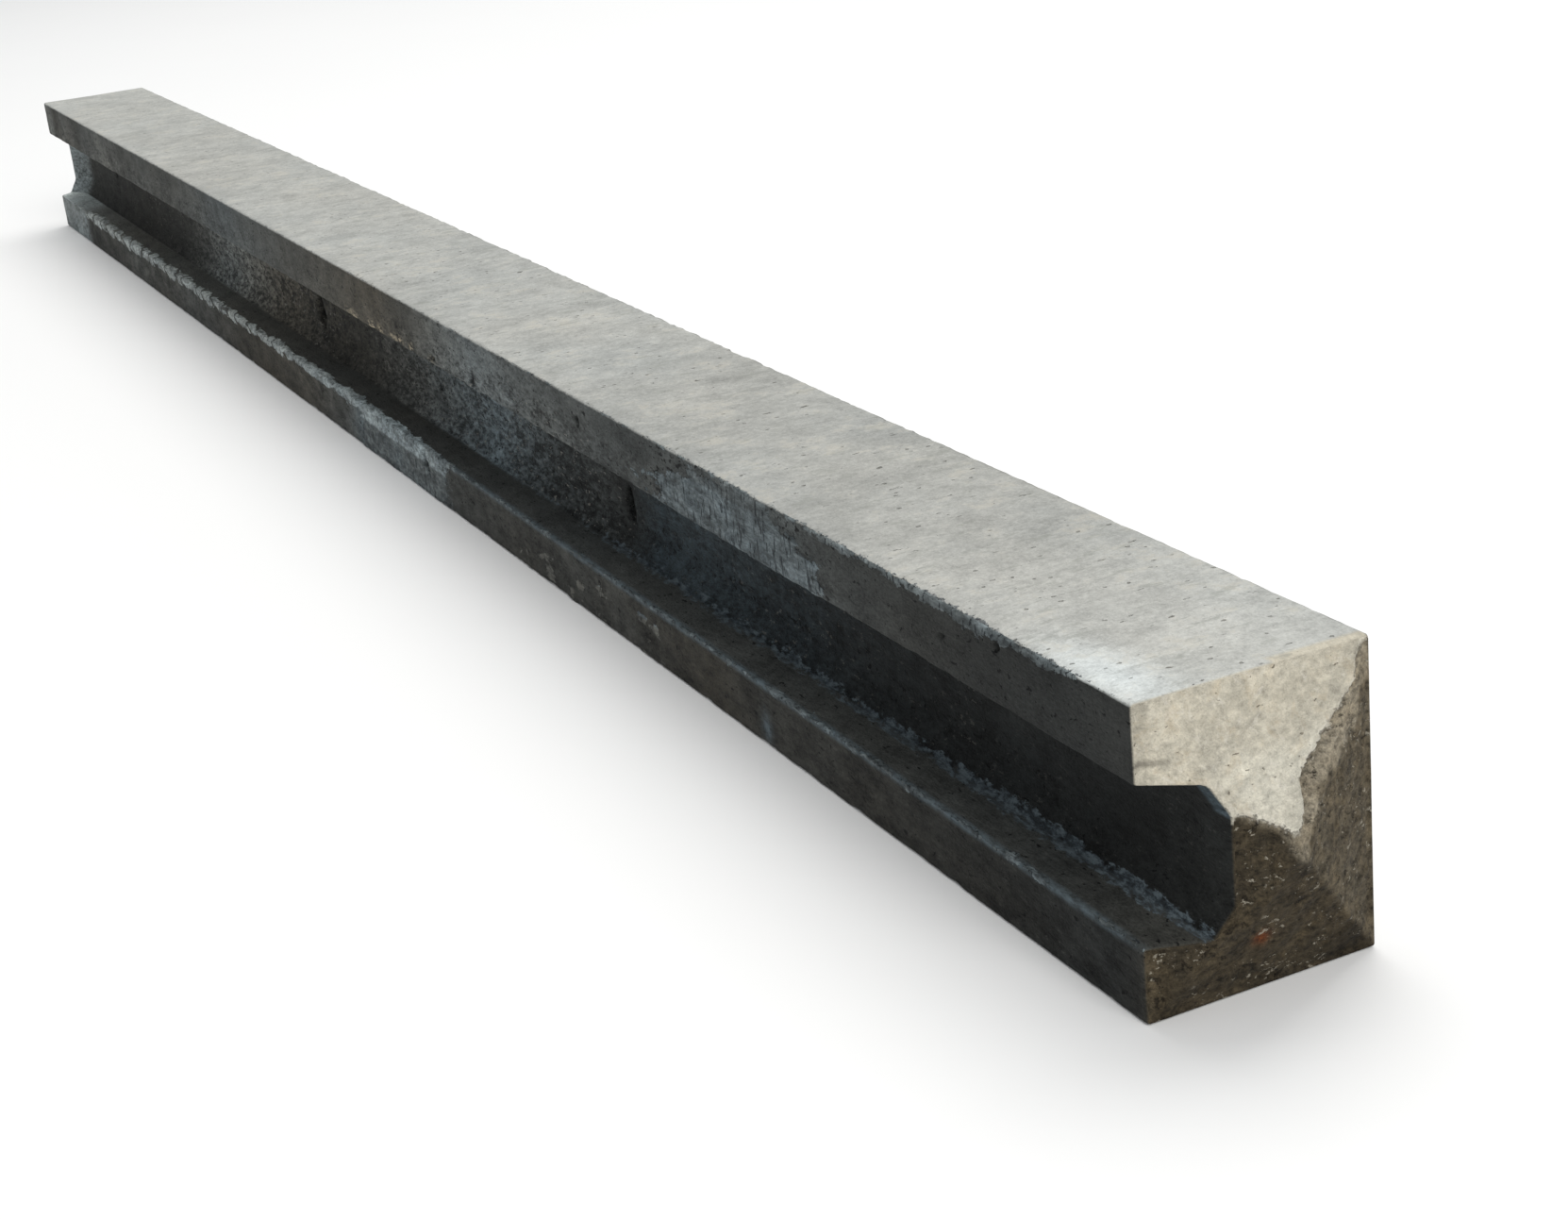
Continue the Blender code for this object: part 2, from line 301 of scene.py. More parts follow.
TOP_TONES = [
    (-0.875, 179), (-0.8, 178), (-0.41, 171), (-0.07, 174), (0.2, 172), (0.3, 175), (0.4, 168),
    (0.55, 165), (0.66, 166), (0.7, 170), (0.74, 171), (0.8, 180), (0.83, 181), (0.851, 184),
]
# Width in mm of the pale mortar along an arris or corner, by x.
FIN_WIDTH = [
    (-0.78, 0), (-0.76, 5.4), (-0.6, 5.8), (-0.3, 5.6), (-0.24, 3.2), (-0.2, 4.8), (-0.05, 4.4),
    (0.14, 4), (0.2, 1.2), (0.35, 1), (0.5, 0.9), (0.52, 1.5), (0.6, 1.2), (0.8, 1.1),
    (0.845, 0.3),
]
# Width in mm, by x, of the bluish band along the slot's lower inner corner, a painted highlight on
# the corner's rounding; then the y and z of the line it follows.
CORNER_BAND = [
    (-0.7, -1.5), (-0.3, -0.9), (0.2, 0.2), (0.36, 1.2), (0.42, 2), (0.55, 2.4), (0.7, 2.8),
    (0.8, 2.6), (0.86, 2.6),
]
CORNER_BAND_LINE = (-0.0262, 0.0302)
TOP_BAND = [
    (-0.85, -1), (0.2, -0.6), (0.45, 0.4), (0.55, 1.4), (0.63, 2.4), (0.7, 3.4), (0.777, 4.6),
    (0.82, 3), (0.838, -0.5), (0.86, -2),
]
# How strong the pale line rubbed along the slot's lower mouth is, by x.
WEAR = [
    (-0.8, 0), (0.1, 0.25), (0.22, 0.6), (0.3, 0.8), (0.45, 0.9), (0.57, 0.8), (0.65, 0.9),
    (0.75, 0.75), (0.835, 0.7), (0.849, 0.2),
]
WEAR_LINE = (FACE_Y - 0.0001, MOUTH_LOW_Z + 0.0004)
# How broken up each dark face is, by x: 0 is a clean cast skin and 1 is open and sandy.
UPPER_SAND = [
    (-0.87, 0.6), (-0.4, 0.5), (-0.1, 0.4), (0.1, 0.45), (0.2, 0.95), (0.36, 0.85), (0.44, 0.55),
    (0.5, 0.6), (0.63, 0.6), (0.66, 0.35), (0.75, 0.25), (0.8, 0.1), (0.86, 0.05),
]
FLOOR_SAND = [
    (-0.87, 0.4), (-0.5, 0.6), (-0.4, 0.9), (-0.2, 1), (-0.1, 0.8), (-0.03, 0.6), (0.08, 0.9),
    (0.34, 1), (0.38, 0.7), (0.42, 0.5), (0.52, 0.55), (0.6, 0.5), (0.68, 0.4), (0.76, 0.3),
    (0.87, 0.3),
]
# Depth in mm of the ragged top arris beside the slot, by x.
CHIP_DEPTH = [
    (-0.85, 0.1), (0.3, 0.25), (0.6, 0.5), (0.66, 1.2), (0.72, 1), (0.78, 1.8), (0.83, 0.8),
    (0.845, 0.1),
]
# Lower edge of the fresh paste on the weathered top: y and z in mm.
PASTE_EDGE_MM = [
    (-45, 20), (-19.5, 20), (-19, 69.5), (-14, 68.5), (-8, 66.5), (-3, 62.5), (0, 61), (2, 63),
    (5, 69), (7, 75), (11, 80), (18, 86), (23, 88), (31, 95), (35, 98), (37, 104), (42, 108),
    (45, 109),
]


def by_x(rows, x, column=1):
    """A value from a list of rows by x, straight between the rows."""
    table = np.array(rows, float)
    return np.interp(x, table[:, 0], table[:, column])


def shade(level, warmth):
    """Linear colour of a grey level out of 255, tinted blue or brown."""
    grey = ((level / 255 + 0.055) / 1.055) ** 2.4
    red = grey * (1 + 0.14 * warmth)
    green = grey * (1.035 - 0.025 * warmth)
    blue = grey * (0.965 - 0.19 * warmth)
    return np.stack([red, green, blue], axis=-1)


def spot(across, half_width, along, half_length):
    """1 in the middle of a soft round or oval spot, fading to 0."""
    return np.exp(-((across / half_width) ** 2) - (along / half_length) ** 2)


def mm_from_line(points, y, z):
    """Distance in mm from a line along the post at y and z."""
    return np.hypot(points[:, 1] - y, points[:, 2] - z) * 1000


def crust_margin(points, face):
    """How far in mm each point lies inside the mortar on the dark faces, negative outside."""
    x = points[:, 0]
    wander = layered(points, (0.016, 0.02, 0.02), 3)
    fin = by_x(FIN_WIDTH, x) * (1 + 0.35 * wander) - mm_from_line(points, FACE_Y, MOUTH_LOW_Z)
    edge = by_x(TOP_BAND, x) * (1 + 0.35 * wander)
    edge = np.where(on(face, "top"), edge * 0.3, edge)
    edge -= mm_from_line(points, FACE_Y, HEIGHT)
    return np.maximum(fin, edge)


def corner_highlight_margin(points, face):
    """How far in mm each point lies inside the bluish band along the slot's lower inner corner,
    painted as a highlight on the corner's rounding.
    """
    wide = layered(points, (0.035, 0.05, 0.05), 5)
    margin = by_x(CORNER_BAND, points[:, 0]) * (1 + 0.3 * wide)
    margin -= mm_from_line(points, *CORNER_BAND_LINE)
    return np.where(on(face, "lower_wall", "lower_slope", "slot_floor"), margin, -FAR_OFF)


def wear(points, face):
    """How strongly pale marks are rubbed into the surface, from 0 to 1."""
    x = points[:, 0]
    return 0.8 * spot(x - 0.579, 0.004, points[:, 2] - 0.008, 0.006) * on(face, "lower_face")


def chips(points, face):
    """Freshly chipped, sandy spots on the slot's upper mouth edge, from 0 to 1."""
    x = points[:, 0]
    along = smooth(x, 0.02, 0.06) * smooth(-x, -0.2, -0.16)
    off = mm_from_line(points, FACE_Y, MOUTH_HIGH_Z)
    spots = smooth(layered(points, (0.012, ENDLESS, ENDLESS), 19), -0.1, 0.3)
    return along * spots * smooth(-off, -6.5, -2.0) * on(face, "upper_face")


def pitting(points, face):
    """Where pits, painted near-black as shade in their hollows, crowd together, from 0 to 1."""
    x = points[:, 0]
    z = points[:, 2]
    lip = spot(x - 0.66, 0.05, z - 0.066, 0.006)
    corner = 0.7 * spot(x - 0.5, 0.3, z - 0.042, 0.005)
    open_floor = 0.5 * smooth(x, -0.45, -0.3) * smooth(-x, -0.38, -0.1)
    floor = np.maximum(np.maximum(lip, corner), open_floor)
    patch = smooth(x, 0.47, 0.5) * smooth(-x, -0.645, -0.62) * 0.6
    value = np.where(on(face, "slot_floor"), floor, 0.12)
    return np.where(on(face, "upper_face"), np.maximum(patch, 0.15), value)


def mortar_colours(points, face):
    """Colour of the pale mortar where it lies on the dark faces."""
    x = points[:, 0]
    fin = by_x([(-0.8, 162), (-0.6, 160), (-0.2, 152), (0.15, 146), (0.2, 108), (0.85, 98)], x)
    level = np.where(mm_from_line(points, FACE_Y, MOUTH_LOW_Z) < 8, fin, 100)
    arris = mm_from_line(points, FACE_Y, HEIGHT)
    level = np.where(arris < 8, 94 + 24 * smooth(-arris, -2.5, -0.5), level)
    warmth = np.where(level == fin, by_x([(-0.2, -0.25), (0.1, -0.7)], x), -0.6)
    patch = on(face, "upper_face") & (arris >= 8)
    level = np.where(patch, 103, level)
    warmth = np.where(patch, -0.8, warmth)
    crumbs = on(face, "lower_face") & (np.abs(x - 0.39) < 0.15) & (level == 100)
    level = np.where(crumbs, 90, level)
    warmth = np.where(crumbs, 0.2, warmth)
    level = level + 6 * layered(points, 0.02, 29)
    colours = shade(level, warmth + 0.2 * layered(points, 0.012, 30))
    return colours * mark_shadow(points, face)


def patch_margin(points, face):
    """The large pale patches on the two flange faces and at the base end, as crust_margin."""
    x = points[:, 0]
    z = points[:, 2]
    wander = layered(points, (0.03, 0.03, 0.012), 11)
    upper = on(face, "upper_face")
    lean = (z - 0.09) * 1.2
    top_edge = np.interp(x, [0.45, 0.53, 0.64], [0.088, 0.098, 0.094])
    patch = np.minimum((x - 0.48 + lean) * 60, (0.64 - x) * 160) - np.maximum(z - top_edge, 0) * 600
    lower = on(face, "lower_face")
    low = np.minimum(x - 0.03, 0.182 - x) * 160
    margin = np.where(upper, patch, np.where(lower, low, -FAR_OFF))
    margin = np.clip(margin, -FAR_OFF, 6) + 2.2 * wander
    spots = 9 * (layered(points, (0.013, ENDLESS, 0.006), 13) - 0.28)
    spots -= np.maximum(z - 0.017, 0) * 900
    spots -= np.maximum(np.abs(x - 0.39) - 0.085, 0) * 400
    return np.where(lower, np.maximum(margin, spots), margin)


def sandiness(points, face):
    """How sandy and open the surface is, from 0 to 1."""
    x = points[:, 0]
    wide = layered(points, (0.05, 0.04, 0.02), 23)
    value = by_x(FLOOR_SAND, x)
    upper = by_x(UPPER_SAND, x) * (0.45 + 0.55 * smooth(-points[:, 2], -0.1, -0.09))
    value = np.where(on(face, "upper_face"), upper, value)
    value = np.where(on(face, "lower_face"), 0.3, value)
    value = np.where(on(face, "lower_wall"), 0.2, value)
    value = np.where(on(face, "top"), 0.15, value)
    return np.clip(value * (1 + 0.45 * wide), 0, 1)


def face_colours(points, face):
    """The colour that each point starts from, before its material adds the fine variation."""
    x = points[:, 0]
    broad = layered(points, (0.09, 0.06, 0.04), 31)
    streak = layered(points + points[:, 2:] * (0.5, 0, 0), (0.02, 0.05, 0.3), 37)
    tables = {
        "upper_face": UPPER_TONES,
        "slot_floor": FLOOR_TONES,
        "upper_slope": FLOOR_TONES,
        "upper_wall": WALL_TONES,
        "lower_slope": FLOOR_TONES,
        "lower_wall": WALL_TONES,
        "lower_face": LOWER_TONES,
    }
    colours = np.tile(shade(np.array(150.0), np.array(0.1)), (len(points), 1))
    for name, rows in tables.items():
        here = on(face, name)
        far = smooth(-x[here], 0.4, 0.62)
        streaky = 2 + 11 * far * (name == "upper_face")
        level = by_x(rows, x[here]) + 4 * broad[here] + streaky * streak[here]
        warmth = by_x(rows, x[here], 2) + 0.25 * broad[here]
        colours[here] = shade(level, warmth)
    slope = on(face, "upper_slope")
    slope &= x > weathered(points[:, 1], points[:, 2]) - 0.008
    colours[slope] = shade(np.full(slope.sum(), 74.0), -1.4)
    top = on(face, "top")
    # Painted highlight: a pale bluish-white glow on the top face towards the near end, beside the
    # slot side.
    near_corner_highlight = smooth(-np.hypot((x[top] - 0.826) / 0.045, (points[top, 1] + 0.036) / 0.018), -1.3, 0)
    level = by_x(TOP_TONES, x[top]) + 3 * broad[top] + 3 * streak[top] + 28 * near_corner_highlight
    colours[top] = shade(level, 0.02 + 0.1 * broad[top] - 0.3 * near_corner_highlight) * (1.0, 0.98, 1.0)
    lip = top & (x > SHOULDER_X - 0.0042) & (points[:, 1] > 0.008)
    colours[lip] = shade(np.full(lip.sum(), 182.0), 0.7)
    colours *= mark_shadow(points, face)
    plain = on(face, "back", "underside")
    colours[plain] = shade(118 + 10 * broad[plain] + 5 * streak[plain], 0.15 + 0.2 * broad[plain])
    return colours


def mark_depth(points, face):
    """Depth of the slits and blow holes at each point."""
    depth = np.zeros(len(points))
    for name, x, across, tall, wide, lean, deep in MARKS:
        on_face = on(face, name)
        off_x = points[:, 0] - x
        if name == "top":
            reach = np.hypot(off_x / tall, (points[:, 1] - across) / wide)
        else:
            height = points[:, 2] - across
            reach = np.hypot((off_x + lean * height) / wide, height / tall)
        depth = np.maximum(depth, np.where(on_face, deep * smooth(-reach, -1.35, -0.75), 0))
    return depth


def mark_shadow(points, face):
    """What the colour is multiplied by inside the slits and blow holes."""
    return 1 - 0.9 * smooth(mark_depth(points, face), 0.0004, 0.002)[:, None]


def relief(points, face):
    """How far each point stands out from the plain casting; negative is inwards."""
    x = points[:, 0]
    top = on(face, "top")
    height = 0.00018 * layered(points, 0.05, 41) - 0.00025
    trowelled = 0.00016 * layered(points, (0.007, 0.05, 0.05), 43)
    trowelled += 0.00022 * layered(points, (0.06, 0.09, 0.09), 47)
    height = np.where(top, height + trowelled, height)
    sand = sandiness(points, face)
    height += np.where(top, 0, sand * 0.00055 * layered(points, (0.0045, 0.006, 0.009), 53))
    crust = np.maximum(crust_margin(points, face), patch_margin(points, face))
    # The painted highlight band along the slot's lower inner corner also gets lumps in relief.
    crust = np.maximum(crust, corner_highlight_margin(points, face))
    lumps = 0.5 + 0.5 * layered(points, (0.007, 0.004, 0.004), 59)
    height += smooth(crust, -0.4, 0.8) * (0.0001 + 0.0007 * lumps) * ~top
    arris = mm_from_line(points, FACE_Y, HEIGHT)
    chip = by_x(CHIP_DEPTH, x) * (0.4 + 0.9 * np.abs(layered(points, (0.009, 0.02, 0.02), 61)))
    height -= 0.001 * chip * smooth(-arris, -4.5, 0)
    for y, z in ((FACE_Y, 0), (BACK_Y, 0), (BACK_Y, HEIGHT), (FACE_Y, MOUTH_HIGH_Z)):
        near = smooth(-mm_from_line(points, y, z), -3.5, 0)
        height -= near * 0.0005 * smooth(layered(points, (0.008, 0.02, 0.02), 67), 0.1, 0.9)
    for foot_x in FOOT_STATIONS:
        for y, z in BARS[::2]:
            inside = (np.abs(x - foot_x) < FOOT_HALF[0] + FOOT_GAP / 2) & (
                np.abs(points[:, 1] - y) < FOOT_HALF[1] + FOOT_GAP / 2
            )
            height = np.where(inside & on(face, "underside"), -FOOT_POCKET, height)
    return height - mark_depth(points, face)


# ---- the mesh
def casting_sides():
    """Points (stations, ring, 3), outward normals of the same shape, and each ring point's face."""
    counted = {}
    ring(SLOT_DEPTH, counted)
    places = stations()
    points = []
    normals = []
    for x in places:
        section, faces = ring(slot_depth(x), counted)
        tangent = np.roll(section, -1, axis=0) - np.roll(section, 1, axis=0)
        tangent /= np.linalg.norm(tangent, axis=1)[:, None]
        edge = max(0.0, END_ROUND - min(x - BASE_X, SHOULDER_X - x)) / END_ROUND
        outward = np.stack([-tangent[:, 1], tangent[:, 0]], axis=1)
        section = section - outward * ARRIS * 0.45 * edge**2
        reach = weathered(section[:, 0], section[:, 1]) - SHOULDER_X
        share = np.clip((x - SHOULDER_X + END_LEAN) / END_LEAN, 0, 1)
        points.append(np.column_stack([x + reach * share**2, section]))
        normals.append(np.column_stack([np.zeros(len(section)), outward]))
    return np.array(points), np.array(normals), faces


def inside_outline(points, polygon):
    """True for each (y, z) point inside the polygon."""
    inside = np.zeros(len(points), bool)
    for (ay, az), (by, bz) in zip(polygon, np.roll(polygon, -1, axis=0)):
        crosses = (az > points[:, 1]) != (bz > points[:, 1])
        slope = (by - ay) / (bz - az) if bz != az else 0.0
        inside ^= crosses & (points[:, 0] < ay + slope * (points[:, 1] - az))
    return inside


def fill_section(polygon, step, seed, lines=(), holes=()):
    """Triangles that fill the section, with extra constraint lines and open round holes."""
    grid_y = np.arange(FACE_Y + step / 2, BACK_Y, step)
    grid_z = np.arange(step / 2, HEIGHT, step)
    grid = np.array([(y, z) for y in grid_y for z in grid_z])
    flat = np.column_stack([np.zeros(len(grid)), grid])
    shift = np.stack([noise(flat, step * 0.9, seed), noise(flat, step * 0.9, seed + 1)], axis=1)
    grid = grid + shift * step * 0.22
    keep = inside_outline(grid, polygon)
    for point in polygon:
        keep &= np.linalg.norm(grid - point, axis=1) > step * 0.5
    for start, end in lines:
        along = np.array(end) - start
        share = np.clip((grid - start) @ along / (along @ along), 0, 1)
        keep &= np.linalg.norm(grid - start - share[:, None] * along, axis=1) > step * 0.45
    for centre, radius in holes:
        keep &= np.linalg.norm(grid - centre, axis=1) > radius + step * 0.35
    points = [tuple(point) for point in polygon]
    edges = [(index, (index + 1) % len(polygon)) for index in range(len(polygon))]
    points += [tuple(point) for point in grid[keep]]
    for start, end in lines:
        count = max(2, int(np.linalg.norm(np.array(end) - start) / step))
        first = len(points)
        for index in range(1, count):
            points.append(tuple(start + (np.array(end) - start) * index / count))
        edges += [(index, index + 1) for index in range(first, len(points) - 1)]
    rims = []
    for centre, radius in holes:
        first = len(points)
        rims.append(list(range(first, first + HOLE_SIDES)))
        for turn in range(HOLE_SIDES):
            angle = 2 * math.pi * turn / HOLE_SIDES
            points.append(tuple(centre + radius * np.array((math.cos(angle), math.sin(angle)))))
            edges.append((first + turn, first + (turn + 1) % HOLE_SIDES))
    result = delaunay_2d_cdt([Vector(p) for p in points], edges, [], 0, 1e-7)
    triangles, origins = result[2], result[3]
    back = {index: source[0] for index, source in enumerate(origins) if source}
    triangles = np.array([[back[v] for v in triangle] for triangle in triangles])
    points = np.array(points)
    centre = points[triangles].mean(axis=1)
    wanted = inside_outline(centre, polygon)
    for middle, radius in holes:
        wanted &= np.linalg.norm(centre - middle, axis=1) > radius * 0.97
    return points, triangles[wanted], rims


def upright(points, triangles, towards):
    """Triangles turned so that they all face along X in the direction asked for."""
    a, b, c = (points[triangles[:, k]] for k in range(3))
    area = (b[:, 0] - a[:, 0]) * (c[:, 1] - a[:, 1]) - (b[:, 1] - a[:, 1]) * (c[:, 0] - a[:, 0])
    flip = (area < 0) == (towards > 0)
    triangles = triangles.copy()
    triangles[flip] = triangles[flip][:, ::-1]
    return triangles


def paste_margin(points):
    """How far in mm a point of the weathered top lies inside the fresh paste, negative outside."""
    y = points[:, 1] * 1000
    z = points[:, 2] * 1000
    wander = layered(points, 0.007, 71)
    edge = by_x(PASTE_EDGE_MM, y + 1.3 * layered(points, 0.006, 73))
    side = np.where(y < -19.3, 9.0, z - edge)
    return np.clip(np.where(z > 66, side, np.minimum(side, z - 58)), -40, 12) * 0.6 + 1.0 * wander


def near_end_relief(points):
    """Height of the broken texture on the weathered top."""
    paste = smooth(paste_margin(points), -0.3, 0.5)
    slanted = points @ np.array(((1, 0, 0), (0, 0.75, 0.66), (0, -0.66, 0.75))).T
    broken = 0.001 * layered(slanted, (0.01, 0.01, 0.007), 79, 4)
    broken += 0.0014 * np.abs(layered(points, 0.0045, 83, 3))
    calm = 0.00045 * layered(slanted, (0.01, 0.016, 0.009), 89, 4)
    crumbly = smooth(points[:, 1], -0.018, -0.006) * smooth(-points[:, 2], -0.088, -0.072)
    calm += 0.0005 * layered(points, 0.0035, 91) * crumbly
    calm -= 0.0005 * paste_crease(points)
    return (1 - paste) * (broken - 0.0015) + paste * (calm - 0.0001)


def paste_crease(points):
    """The shallow crease that runs in from the slot side of the paste."""
    off = (points[:, 2] - 0.0885 - 0.06 * (points[:, 1] - FACE_Y)) / 0.0007
    return np.exp(-(off**2)) * smooth(-points[:, 1], 0.03, 0.036)


def near_end_colours(points):
    """Paste, mid-tone fringe and the dark facets of the weathered top."""
    y = points[:, 1]
    z = points[:, 2]
    margin = paste_margin(points)
    broad = layered(points, 0.012, 97)
    patches = layered(points, 0.0055, 98)
    low = smooth(-z, -0.094, -0.08) * smooth(y, -0.028, -0.01)
    strip = smooth(-y, 0.0385, 0.0395)
    level = 176 + 5 * broad + 6 * patches + 15 * low
    level += 6 * smooth(-y, 0.02, 0.035) * (1 - 2.2 * strip)
    level -= 46 * paste_crease(points)
    fresh = shade(level, 0.68 - 0.16 * low + 0.06 * patches)
    ridge = np.abs(y) / WIDTH * 2 - np.abs(z - MIDDLE_Z) / HEIGHT * 2
    right = smooth(ridge, -0.03, 0.03) * (y > 0)
    upper = smooth(z, 0.06, 0.085)
    corner = smooth(-y, 0.038, 0.041) * smooth(-z, -0.03, -0.02)
    level = 58 + 6 * broad + 5 * patches + (20 + 9 * upper) * right + 12 * corner
    level -= 3 * smooth(y, -0.02, 0.0) * (1 - right)
    level -= 10 * smooth(y, 0.015, 0.03) * smooth(-z, -0.022, -0.008) * (1 - right)
    dark = shade(level, 1.75 - 0.25 * right + 0.3 * patches)
    rust = spot(y + 0.006, 0.0028, z - 0.023, 0.0024)[:, None]
    dark = dark * (1 - rust) + np.array((0.12, 0.035, 0.012)) * rust
    light_ridge = np.exp(-((ridge / 0.1) ** 2)) * (z > 0.06)
    fringe = shade(122 + 7 * broad + 7 * patches + 14 * light_ridge, 1.15 + 0.2 * patches)
    reach = 8.5 * smooth(y, -0.008, 0.004) + 0.5
    near_edge = smooth(margin + reach * (1 + 0.4 * broad), -1.5, 2.0)[:, None] * 0.9
    colours = dark * (1 - near_edge) + fringe * near_edge
    inside = smooth(margin, -0.35, 0.35)[:, None]
    return colours * (1 - inside) + fresh * inside


def base_end_colours(points):
    broad = layered(points, 0.02, 101)
    return shade(150 + 10 * broad, 0.15 + 0.2 * broad)


def round_the_post(index):
    """Four-sided faces between neighbouring rings, from the number of each ring point."""
    after = np.roll(index, -1, axis=1)
    return np.stack([index[:-1], index[1:], after[1:], after[:-1]], axis=-1).reshape(-1, 4)


def near_end(rim, rim_numbers, first_new):
    """The weathered top inside its rim: new points, and triangles by point number."""
    ridges = [
        (np.array((y * 0.985, MIDDLE_Z + (z - MIDDLE_Z) * 0.985)), np.array((0.0, MIDDLE_Z)))
        for y in (FACE_Y, BACK_Y)
        for z in (0.0, HEIGHT)
    ]
    cap, triangles, _ = fill_section(rim[:, 1:], END_STEP, 107, lines=ridges)
    inner = cap[len(rim):]
    body = np.column_stack([weathered(inner[:, 0], inner[:, 1]), inner])
    across = np.abs(inner - (0, MIDDLE_Z)) / (WIDTH / 2, HEIGHT / 2)
    body[:, 0] += near_end_relief(body) * smooth(1 - across.max(axis=1), 0.0, 0.05)
    numbers = np.concatenate([rim_numbers, first_new + np.arange(len(inner))])
    return body, numbers[upright(cap, triangles, 1)].tolist()


def base_end(rim, rim_numbers, first_new):
    """The same for the base end, with a round pocket for the end of each bar."""
    holes = [(np.array(centre), BAR_HOLE_RADIUS) for centre in BARS]
    cap, triangles, rims = fill_section(rim[:, 1:], BASE_STEP, 109, holes=holes)
    inner = cap[len(rim):]
    body = np.column_stack([np.full(len(inner), BASE_X), inner])
    on_rim = np.isin(np.arange(len(rim), len(cap)), rims)
    body[:, 0] += np.where(on_rim, 0.0003, 0.0004 + 0.0003 * layered(body, 0.008, 113))
    numbers = np.concatenate([rim_numbers, first_new + np.arange(len(inner))])
    polygons = numbers[upright(cap, triangles, -1)].tolist()
    pocket = []
    for (y, z), hole in zip(BARS, rims):
        middle = first_new + len(inner) + len(pocket)
        deep = middle + HOLE_SIDES
        for depth, radius in ((0.001, 0.97), (BAR_HOLE_DEPTH, 0.93)):
            for number in hole:
                pocket.append((BASE_X + depth, *((cap[number] - (y, z)) * radius + (y, z))))
        pocket.append((BASE_X + BAR_HOLE_DEPTH, y, z))
        for turn in range(HOLE_SIDES):
            after = (turn + 1) % HOLE_SIDES
            outer = (int(numbers[hole[turn]]), int(numbers[hole[after]]))
            polygons.append([outer[0], middle + turn, middle + after, outer[1]])
            polygons.append([middle + turn, deep + turn, deep + after, middle + after])
            polygons.append([deep + turn, deep + HOLE_SIDES, deep + after])
    return np.concatenate([body, np.array(pocket)]), polygons


def build_casting():
    """One closed mesh of the post, with its colours and the values that its materials read."""
    sides, outward, ring_face = casting_sides()
    rows, round_count = sides.shape[:2]
    flat = sides.reshape(-1, 3)
    face = np.tile(ring_face, rows)
    height = relief(flat, face)
    fade = smooth(flat[:, 0], SHOULDER_X + FADE_HALF_LENGTH, SHOULDER_X - FADE_HALF_LENGTH)
    faded = height * np.maximum(fade, FADED_SHARE)
    height = np.where(height < -KEPT_HOLLOW, height, faded)
    moved = flat + outward.reshape(-1, 3) * height[:, None]
    moved[:, 2] = np.maximum(moved[:, 2], 0)
    index = np.arange(rows * round_count).reshape(rows, round_count)
    quads = round_the_post(index)
    near, near_faces = near_end(moved[index[-1]], index[-1], len(moved))
    base, base_faces = base_end(moved[index[0]], index[0], len(moved) + len(near))

    polygons = quads.tolist() + near_faces + base_faces
    piece = add_object("concrete", np.concatenate([moved, near, base]).tolist(), polygons)
    mesh = piece.data
    slots = [*np.tile(ring_face, rows - 1), *[len(FACES)] * len(near_faces)]
    slots += [len(FACES) + 1] * len(base_faces)
    mesh.polygons.foreach_set("material_index", np.array(slots, np.int32))
    mesh.polygons.foreach_set("use_smooth", np.ones(len(polygons), bool))

    tints = [face_colours(flat, face), near_end_colours(near), base_end_colours(base)]
    tint = np.concatenate(tints)
    tint[index[-1]] = near_end_colours(flat[index[-1]])
    tint[index[0]] = base_end_colours(flat[index[0]])
    store_colour(mesh, "tint", tint)
    mortar = np.zeros((len(tint), 3))
    mortar[: len(flat)] = mortar_colours(flat, face)
    store_colour(mesh, "mortar", mortar)
    paste = np.full(len(tint), -FAR_OFF)
    paste[index[-1]] = paste_margin(flat[index[-1]])
    paste[len(flat) : len(flat) + len(near)] = paste_margin(near)
    store(mesh, "paste", paste)
    for name, elsewhere, values in (
        ("crust", -FAR_OFF, np.maximum(crust_margin(flat, face), patch_margin(flat, face))),
        ("sand", 0.0, sandiness(flat, face)),
        ("corner_highlight", -FAR_OFF, corner_highlight_margin(flat, face)),
        ("wear", 0.0, wear(flat, face)),
        ("line", 0.0, by_x(WEAR, flat[:, 0])),
        ("mouth", FAR_OFF, np.minimum(mm_from_line(flat, *WEAR_LINE), FAR_OFF)),
        ("pitted", 0.0, pitting(flat, face)),
        ("chipped", 0.0, chips(flat, face)),
        ("dabs", 0.0, 7 * smooth(-flat[:, 0], 0.05, 0.3)),
    ):
        column = np.full(len(tint), elsewhere)
        column[: len(flat)] = values
        store(mesh, name, column)
    mesh.update()
    return piece


def add_object(name, points, polygons):
    mesh = bpy.data.meshes.new(name)
    mesh.from_pydata(points, [], polygons)
    made = bpy.data.objects.new(name, mesh)
    bpy.context.scene.collection.objects.link(made)
    return made


def store(mesh, name, values):
    attribute = mesh.attributes.new(name, "FLOAT", "POINT")
    attribute.data.foreach_set("value", values.astype(np.float32))


def store_colour(mesh, name, colours):
    attribute = mesh.attributes.new(name, "FLOAT_COLOR", "POINT")
    rgba = np.column_stack([colours, np.ones(len(colours))])
    attribute.data.foreach_set("color", rgba.astype(np.float32).ravel())


